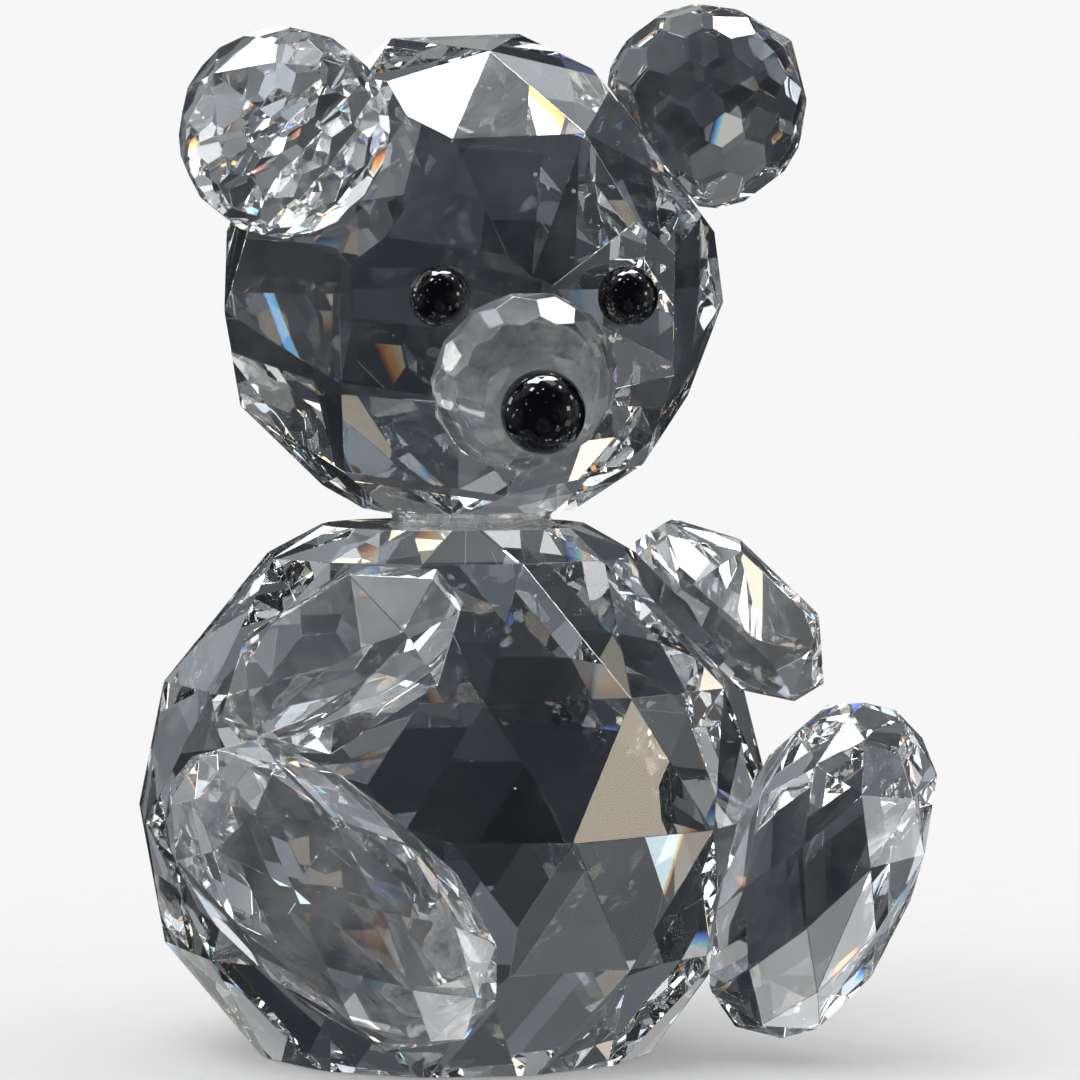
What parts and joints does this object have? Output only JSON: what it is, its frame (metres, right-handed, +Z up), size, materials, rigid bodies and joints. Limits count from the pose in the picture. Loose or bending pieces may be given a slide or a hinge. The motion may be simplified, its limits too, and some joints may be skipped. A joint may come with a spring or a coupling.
{
  "type": "crystal glass figurine",
  "caption": "Seated bear figurine made of clear cut-crystal stones glued together, with black bead eyes and nose and honeycomb-cut ears",
  "frame": {"origin": "centre of the ground flat that the body ball rests on, on the tabletop plane", "axes": "+Z up, the bear faces -Y, its left side is +X"},
  "size_m": [0.0611, 0.0592, 0.0807],
  "materials": {
    "crystal": "clear lead-crystal look, facets cut and polished",
    "black_bead": "opaque black, polished",
    "adhesive": "cured clear adhesive, slightly milky"
  },
  "bodies": {
    "root": {"body_ball": "crystal", "head_ball": "crystal", "neck_bond": "adhesive", "ear_right": "crystal", "ear_left": "crystal", "ear_right_bond": "adhesive", "ear_left_bond": "adhesive", "muzzle": "crystal", "muzzle_bond": "adhesive", "nose": "black_bead", "nose_bond": "adhesive", "eye_right": "black_bead", "eye_left": "black_bead", "eye_right_bond": "adhesive", "eye_left_bond": "adhesive", "arm_right": "crystal", "arm_left": "crystal", "arm_right_bond": "adhesive", "arm_left_bond": "adhesive", "foot_right": "crystal", "foot_left": "crystal", "foot_right_bond": "adhesive", "foot_left_bond": "adhesive"}
  },
  "joints": []
}
